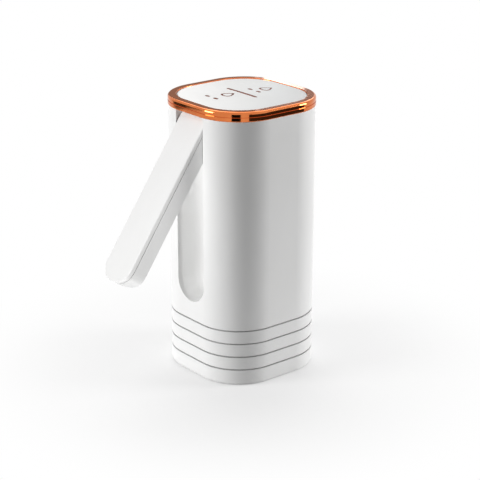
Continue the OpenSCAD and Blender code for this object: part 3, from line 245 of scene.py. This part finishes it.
MATERIALS = {
    # The shell has shade painted into its grooves and seams
    "shell": plastic("shell_white", *WHITE, (0.3, 0.4), painted_shade_reach=PAINTED_SHADE_REACH),
    "inner_plastic": plastic(
        "inner_white", (0.77, 0.77, 0.75), (0.81, 0.81, 0.79), (0.4, 0.52), grain=1800, strength=0.06),
    "copper_plating": metal(
        "copper_plating", (0.63, 0.17, 0.05), (0.71, 0.21, 0.066), (0.05, 0.09), scale=220, strength=0.02),
    "silicone": rubber("silicone", (0.74, 0.75, 0.77), (0.84, 0.85, 0.86), (0.32, 0.5), through=0.25),
    "dark_rubber": rubber("dark_rubber", (0.012, 0.012, 0.012), (0.03, 0.03, 0.031), (0.5, 0.7)),
    "steel": metal("steel", (0.5, 0.5, 0.52), (0.63, 0.63, 0.64), (0.22, 0.36), stretch=(1, 1, 0.08)),
    "magnet": metal("magnet", (0.03, 0.03, 0.032), (0.06, 0.06, 0.063), (0.55, 0.7), strength=0.15),
    "armature": metal("armature", (0.28, 0.1, 0.035), (0.45, 0.17, 0.06), (0.3, 0.45), stretch=(1, 1, 6)),
    "chassis_plastic": plastic(
        "chassis_grey", (0.25, 0.255, 0.26), (0.29, 0.295, 0.3), (0.45, 0.6), grain=1400, strength=0.1),
    "pump_plastic": plastic(
        "pump_black", (0.008, 0.008, 0.009), (0.014, 0.014, 0.015), (0.38, 0.55), grain=1500, strength=0.1),
    "acetal": plastic("acetal", (0.74, 0.69, 0.55), (0.79, 0.74, 0.6), (0.34, 0.46)),
    "button_plastic": plastic("button_grey", (0.045, 0.045, 0.048), (0.06, 0.06, 0.064), (0.4, 0.5)),
    "cell_wrap": plastic(
        "cell_wrap", (0.02, 0.09, 0.25), (0.03, 0.12, 0.31), (0.2, 0.3),
        grain=900, strength=0.05, coat=0.3),
    "board": laminate("board"),
    "brass": metal("brass", (0.52, 0.33, 0.09), (0.62, 0.42, 0.14), (0.25, 0.4)),
    "lead_jacket": rubber("lead_jacket", (0.25, 0.008, 0.006), (0.32, 0.013, 0.01), (0.35, 0.5)),
}
for part in frame["record"]["subparts"]:
    mesh = frame["nodes"][part["node"]].data
    mesh.materials.clear()
    mesh.materials.append(MATERIALS[part["material_slot"]])

panel_white = plastic("panel_white", *WHITE, (0.35, 0.45), gloss=0.12)
frame["nodes"]["button_panel"].data.materials[0] = panel_white
print_ink = metal(
    "print_ink", (0.26, 0.065, 0.035), (0.33, 0.09, 0.05), (0.3, 0.42), scale=1500, strength=0.1)


# New pieces

SAME_POINT = 1e-7


def banded(name, outlines, closed, material):
    """New piece between outlines of as many points each.

    They are joined as a ring if it is closed, and otherwise with a face at each end.
    """
    build = bmesh.new()
    rings = [[build.verts.new(point) for point in outline] for outline in outlines]
    count = len(rings[0])
    for i in range(len(rings) - (not closed)):
        a, b = rings[i], rings[(i + 1) % len(rings)]
        for k in range(count):
            n = (k + 1) % count
            build.faces.new((a[k], a[n], b[n], b[k]))
    if not closed:
        build.faces.new(rings[0])
        build.faces.new(rings[-1])
    bmesh.ops.remove_doubles(build, verts=build.verts, dist=SAME_POINT)
    bmesh.ops.recalc_face_normals(build, faces=build.faces)
    mesh = bpy.data.meshes.new(name)
    build.to_mesh(mesh)
    build.free()
    mesh.materials.append(material)
    piece = bpy.data.objects.new(name, mesh)
    scene.collection.objects.link(piece)
    return piece


# Printed marks on the button panel, with outlines in millimetres from its middle

panel_low, panel_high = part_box("button_panel")
PANEL_REACH = (panel_high.x - panel_low.x) / 2
CROWN = 0.6 * MM
INK_RISE = 0.035 * MM
INK_SINK = 0.02 * MM
LINE_WIDTH = 1.6
DIVIDER_LENGTH = 22.6
DROP_LENGTH, DROP_WIDTH = 7.2, 6.4
HOLLOW_LENGTH, HOLLOW_WIDTH = 5.2, 4.5
HOLLOW_SHIFT = 0.15
# How fast a drop narrows to its tip, and how full it is at the other end
DROP_TAPER, DROP_FULLNESS = 1.3, 1.35
DOT_LENGTH = 3.1
DOT_SPREAD = 3.2
END_STEPS = 8


def on_panel(x, y, rise):
    """Point over the panel's crowned surface."""
    away = (x * x + y * y) / (PANEL_REACH * PANEL_REACH)
    return Vector((x, y, panel_high.z - CROWN * away + rise))


def ink(name, outer, inner):
    """A printed mark: the band between two outlines, laid on the crown."""
    levels = ((outer, INK_RISE), (inner, INK_RISE), (inner, -INK_SINK), (outer, -INK_SINK))
    outlines = [[on_panel(x * MM, y * MM, rise) for x, y in outline] for outline, rise in levels]
    piece = banded(name, outlines, True, print_ink)
    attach(piece, "panel")


def drop_outline(cx, cy, length, width, count=48):
    """Water drop with its tip towards +X."""
    points = []
    for k in range(count):
        t = 2 * math.pi * k / count
        narrowing = DROP_FULLNESS * math.sin(t / 2) ** DROP_TAPER
        points.append((cx + length / 2 * math.cos(t), cy + width / 2 * math.sin(t) * narrowing))
    return points


def bar_outline(cx, cy, length, width, step=0.5):
    """Bar along Y with round ends, and the points of its axis that face the outline."""
    radius = width / 2
    straight = (length - width) / 2
    along = int(2 * straight / step)
    outline = []
    for side in (1, -1):
        for k in range(along):
            outline.append((cx + side * radius, cy + side * straight * (2 * k / along - 1)))
        for k in range(END_STEPS):
            t = math.pi * k / END_STEPS
            end = straight + radius * math.sin(t)
            outline.append((cx + side * radius * math.cos(t), cy + side * end))
    axis = [(cx, min(max(y, cy - straight), cy + straight)) for x, y in outline]
    return outline, axis


ink("mark_divider", *bar_outline(0, 0, DIVIDER_LENGTH, LINE_WIDTH))
for side, drop_x, drop_y, dot_x, dot_y in (
        ("left", -7.2, 1.2, -16.4, 2.6),
        ("right", 14.6, -1.2, 7.5, -0.4)):
    drop = drop_outline(drop_x, drop_y, DROP_LENGTH, DROP_WIDTH)
    hollow = drop_outline(drop_x - HOLLOW_SHIFT, drop_y, HOLLOW_LENGTH, HOLLOW_WIDTH)
    ink(f"mark_{side}_drop", drop, hollow)
    for n, y in enumerate((-DOT_SPREAD, DOT_SPREAD)):
        ink(f"mark_{side}_dot_{n}", *bar_outline(dot_x, dot_y + y, DOT_LENGTH, LINE_WIDTH))


# Spout arm: a thin cover over a rim, with the seam close under the face

fold = next(joint for joint in frame["record"]["behaviour"]["joints"] if joint["name"] == "spout_fold")
HINGE = Vector(fold["pos_m"])
ARM_OPEN = math.radians(-fold["range_deg"][0])
OUT_OF_FACE = Vector((-math.cos(ARM_OPEN), 0, math.sin(ARM_OPEN)))
TO_TIP = Vector((-math.sin(ARM_OPEN), 0, -math.cos(ARM_OPEN)))
cover_points = [point.co - HINGE for point in frame["nodes"]["arm_cover"].data.vertices]
KNUCKLE = max(point.dot(OUT_OF_FACE) for point in cover_points)
TIP = max(point.dot(TO_TIP) for point in cover_points)
ARM_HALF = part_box("arm_cover")[1].y
# Sizes of the arm's shell, as in the part's source
TIP_CORNER = 8.5 * MM
ARM_WALL = 1.4 * MM
SHELL_STEP = 4.2 * MM
SHELL_EDGE = 4.6 * MM
# Sizes of the cover, as in the photograph
COVER_EDGE = 0.8 * MM
COVER_DEPTH = 2.1 * MM
SEAM = 0.3 * MM
# Depth of the rim's lower edge over the axle, and where it starts and ends its way down beside the axle
AXLE_CLEAR = 4.3 * MM
AXLE_SIDE = 1.0 * MM
AXLE_PASSED = 2.5 * MM
CORNER_STEPS = 10
EDGE_STEPS = 6
CREASE = math.radians(35)


def on_arm(along, across, depth):
    """Point at a distance from the hinge towards the tip, beside the arm's middle, and under its face."""
    return HINGE + TO_TIP * along + OUT_OF_FACE * (KNUCKLE - depth) + Vector((0, across, 0))


def arm_outline(depth, inset):
    """Outline of the arm at a depth under its face, drawn in by an inset and kept clear of the axle."""
    over_axle = min(depth, AXLE_CLEAR)
    top = inset - math.sqrt(KNUCKLE ** 2 - (KNUCKLE - over_axle) ** 2)
    half, corner = ARM_HALF - inset, TIP_CORNER - inset
    side_edge = ((top, over_axle), (AXLE_SIDE, over_axle), (AXLE_PASSED, depth))
    points = [on_arm(along, half, level) for along, level in side_edge]
    for side, quarter in ((1, 0), (-1, 1)):
        for k in range(CORNER_STEPS + 1):
            turn = math.pi / 2 * (quarter + k / CORNER_STEPS)
            along = TIP - inset - corner + corner * math.sin(turn)
            points.append(on_arm(along, side * (half - corner) + corner * math.cos(turn), depth))
    points += [on_arm(along, -half, level) for along, level in reversed(side_edge)]
    return points


def arm_piece(name, levels, closed):
    """Piece of the arm's shell between the outlines at (depth, inset) levels."""
    outlines = [arm_outline(depth, inset) for depth, inset in levels]
    piece = banded(name, outlines, closed, MATERIALS["shell"])
    piece.data.shade_smooth()
    piece.data.set_sharp_from_angle(angle=CREASE)
    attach(piece, "arm")
    return piece


edge_turns = [math.pi / 2 * k / EDGE_STEPS for k in range(EDGE_STEPS + 1)]
cover_levels = [(COVER_EDGE * (1 - math.cos(t)), COVER_EDGE * (1 - math.sin(t))) for t in edge_turns]
cover = arm_piece("arm_cover_plate", cover_levels + [(COVER_DEPTH, 0)], False)
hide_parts("arm_cover")
rim_levels = (
    (COVER_DEPTH, SEAM),
    (COVER_DEPTH + SEAM, SEAM),
    (COVER_DEPTH + SEAM, 0),
    (SHELL_EDGE, 0),
    (SHELL_EDGE, SEAM),
    (SHELL_STEP, SEAM),
    (SHELL_STEP, ARM_WALL),
    (COVER_DEPTH, ARM_WALL),
)
arm_piece("arm_rim", rim_levels, True)


# Studio, in metres

CENTRE = Vector((0, 0, 0.08))
FLOOR_SIZE = 8
FLOOR_DROP = 0.2 * MM
FLOOR_PALE = 0.93
# Where the floor turns to plain white, and how white it is at the start
WHITE_FROM, WHITE_TO = 0.03, 0.15
WHITE_START = 0.5
# Where the light that the floor throws back dims, and its two levels
DIM_FROM, DIM_TO = 0.06, 0.2
BACK_NEAR, BACK_FAR = 0.55, 0.08
SKY_LIGHT = 0.17
BACKDROP = 1.0


def smooth(tree, value, start, end, low, high):
    """Maps a value to a range, with soft ends."""
    node = span(tree, value, start, end, low, high)
    node.interpolation_type = "SMOOTHSTEP"
    return node.outputs["Result"]


def seen_rays(tree):
    """1 for camera, glossy and transmission rays."""
    path = tree.nodes.new("ShaderNodeLightPath")
    seen = path.outputs["Is Camera Ray"]
    for kind in ("Is Glossy Ray", "Is Transmission Ray"):
        either = tree.nodes.new("ShaderNodeMath")
        either.operation = "MAXIMUM"
        tree.links.new(seen, either.inputs[0])
        tree.links.new(path.outputs[kind], either.inputs[1])
        seen = either.outputs[0]
    return seen


def pick(tree, factor, no, yes):
    """Mixes two shaders: the first where the factor is 0, the second where it is 1."""
    mix = tree.nodes.new("ShaderNodeMixShader")
    tree.links.new(factor, mix.inputs["Fac"])
    tree.links.new(no, mix.inputs[1])
    tree.links.new(yes, mix.inputs[2])
    return mix.outputs[0]


def floor_material():
    """Pale for the camera and for reflections, and darker for the light that the floor throws back."""
    material, tree, out = empty_material("floor")
    pale = tree.nodes.new("ShaderNodeBsdfDiffuse")
    pale.inputs["Color"].default_value = (FLOOR_PALE, FLOOR_PALE, FLOOR_PALE, 1)
    grey = tree.nodes.new("ShaderNodeBsdfDiffuse")
    white = tree.nodes.new("ShaderNodeEmission")
    coords = tree.nodes.new("ShaderNodeTexCoord")
    away = tree.nodes.new("ShaderNodeVectorMath")
    away.operation = "LENGTH"
    tree.links.new(coords.outputs["Object"], away.inputs[0])
    distance = away.outputs["Value"]
    whitening = smooth(tree, distance, WHITE_FROM, WHITE_TO, WHITE_START, 1.0)
    shown = pick(tree, whitening, pale.outputs[0], white.outputs[0])
    dimming = smooth(tree, distance, DIM_FROM, DIM_TO, BACK_NEAR, BACK_FAR)
    tree.links.new(dimming, grey.inputs["Color"])
    surface = pick(tree, seen_rays(tree), grey.outputs[0], shown)
    tree.links.new(surface, out.inputs["Surface"])
    return material


def sheet(name, width, height, place, aim, material):
    """Flat stage card at a place, facing a point."""
    mesh = bpy.data.meshes.new(name)
    w, h = width / 2, height / 2
    mesh.from_pydata([(-w, -h, 0), (w, -h, 0), (w, h, 0), (-w, h, 0)], [], [(0, 1, 2, 3)])
    mesh.materials.append(material)
    card = bpy.data.objects.new(name, mesh)
    scene.collection.objects.link(card)
    card.location = place
    card.rotation_mode = "QUATERNION"
    card.rotation_quaternion = (Vector(aim) - Vector(place)).to_track_quat("Z", "Y")
    return card


def background(tree, strength):
    """White background of a strength."""
    node = tree.nodes.new("ShaderNodeBackground")
    node.inputs["Color"].default_value = (1, 1, 1, 1)
    node.inputs["Strength"].default_value = strength
    return node.outputs[0]


def around(turn, rise, away):
    """Place around CENTRE: turn in degrees from -X towards -Y, rise in degrees, and distance."""
    turn, rise = math.radians(turn), math.radians(rise)
    level = away * math.cos(rise)
    return CENTRE + Vector((-level * math.cos(turn), -level * math.sin(turn), away * math.sin(rise)))


def softbox(name, place, width, height, power):
    """Rectangular lamp that faces CENTRE, with its power in watts."""
    lamp = bpy.data.lights.new(name, "AREA")
    lamp.shape = "RECTANGLE"
    lamp.size, lamp.size_y = width, height
    lamp.energy = power
    light = bpy.data.objects.new(name, lamp)
    scene.collection.objects.link(light)
    light.location = place
    light.rotation_mode = "QUATERNION"
    light.rotation_quaternion = (CENTRE - place).to_track_quat("-Z", "Y")
    light.visible_camera = False
    return light


def mirror_card(name, turn, away, width, low, high, shade):
    """Upright card of a shade, between two heights, that only reflections see."""
    material, tree, out = empty_material(name)
    glow = tree.nodes.new("ShaderNodeEmission")
    glow.inputs["Color"].default_value = (*shade, 1)
    tree.links.new(glow.outputs[0], out.inputs["Surface"])
    place = around(turn, 0, away)
    place.z = (low + high) / 2
    card = sheet(name, width, high - low, place, (0, 0, place.z), material)
    card.visible_camera = False
    card.visible_diffuse = False
    card.visible_transmission = False
    card.visible_shadow = False


def light_group(name, pieces, state):
    """Collection of pieces that a lamp includes or excludes."""
    group = bpy.data.collections.new(name)
    for piece in pieces:
        group.objects.link(piece)
    for entry in group.collection_objects:
        entry.light_linking.link_state = state
    return group


def lights(light, pieces, state):
    """Lets a lamp light only the pieces, or all but the pieces."""
    light.light_linking.receiver_collection = light_group(light.name + "_lights", pieces, state)


def passes(light, pieces):
    """Lets the light of a lamp pass through pieces."""
    light.light_linking.blocker_collection = light_group(light.name + "_passes", pieces, "EXCLUDE")


floor = sheet("floor", FLOOR_SIZE, FLOOR_SIZE, (0, 0, -FLOOR_DROP), (0, 0, 1), floor_material())

world = bpy.data.worlds.new("studio")
scene.world = world
world.use_nodes = True
sky = world.node_tree
sky.nodes.clear()
sky_out = sky.nodes.new("ShaderNodeOutputWorld")
sky_shown = pick(sky, seen_rays(sky), background(sky, SKY_LIGHT), background(sky, BACKDROP))
sky.links.new(sky_shown, sky_out.inputs["Surface"])

# The arm, the recess and the panel have lamps of their own, which shade them as in the photograph
arm_pieces = list(frame["bodies"]["arm"].children)
panel_pieces = list(frame["bodies"]["panel"].children)
recess = [frame["nodes"]["arm_bay"]]
RIGHT_PLACE = around(142, 8, 1.1)
RIGHT_SIZE = (0.35, 0.7)
left_lamp = softbox("left_softbox", around(-22, 8, 1.1), 0.45, 0.7, 12.6)
lights(left_lamp, arm_pieces + recess + panel_pieces, "EXCLUDE")
passes(left_lamp, arm_pieces)
right_lamp = softbox("right_softbox", RIGHT_PLACE, *RIGHT_SIZE, 11.2)
lights(right_lamp, arm_pieces + panel_pieces, "EXCLUDE")
back_lamp = softbox("back_softbox", around(-128, 45, 1.1), 0.9, 0.9, 6.6)
lights(back_lamp, panel_pieces, "EXCLUDE")
panel_lamp = softbox("panel_softbox", around(-39, 28, 0.62), 0.3, 0.3, 7.5)
lights(panel_lamp, panel_pieces, "INCLUDE")
recess_lamp = softbox("recess_softbox", around(0, 8, 1.1), 1.6, 0.7, 14.0)
lights(recess_lamp, recess, "INCLUDE")
passes(recess_lamp, arm_pieces)
arm_lamp = softbox("arm_softbox", around(8, 20, 0.6), 0.3, 0.3, 2.75)
lights(arm_lamp, arm_pieces, "INCLUDE")
arm_side_lamp = softbox("arm_side_softbox", RIGHT_PLACE, *RIGHT_SIZE, 7.0)
lights(arm_side_lamp, arm_pieces, "INCLUDE")
bounce_lamp = softbox("floor_bounce", around(50, -65, 0.8), 0.5, 0.5, 3.7)
lights(bounce_lamp, arm_pieces, "INCLUDE")
passes(bounce_lamp, [floor])

# Cards for the ring's bands: turn, distance, width, lower and upper height, and shade
mirror_card("card_near", 45, 0.3, 0.105, 0, 0.12, (0.01, 0.01, 0.01))
mirror_card("card_right", 108, 0.3, 0.42, 0, 0.12, (0.05, 0.045, 0.04))
mirror_card("card_left", -51.6, 0.3, 0.14, 0.0625, 0.12, (0.02, 0.02, 0.02))
mirror_card("card_far_left", -117, 0.6, 0.28, 0.13, 0.55, (0.36, 0.31, 0.26))
mirror_card("card_far_high", -135, 0.63, 0.16, 0.36, 0.7, (0.03, 0.03, 0.03))
mirror_card("card_far_light", -132.6, 0.6, 0.036, 0.245, 0.286, (3.0, 4.0, 4.5))
mirror_card("card_far_dark", -134.2, 0.61, 0.08, 0.2, 0.4, (0.4, 0.39, 0.38))


# Camera, as in the photograph

CAMERA_PLACE = (-0.44026, -0.54421, 0.3159)
CAMERA_PITCH = math.radians(19.83)
HEADING_X, HEADING_Y = 0.628, 0.7782

lens = bpy.data.cameras.new("camera")
lens.sensor_width = 36
lens.lens = 111.55
lens.clip_start, lens.clip_end = 0.05, 50
camera = bpy.data.objects.new("camera", lens)
scene.collection.objects.link(camera)
level = math.cos(CAMERA_PITCH)
look = Vector((HEADING_X * level, HEADING_Y * level, -math.sin(CAMERA_PITCH)))
camera.location = CAMERA_PLACE
camera.rotation_mode = "QUATERNION"
camera.rotation_quaternion = look.to_track_quat("-Z", "Y")
scene.camera = camera
scene.view_settings.view_transform = "Standard"
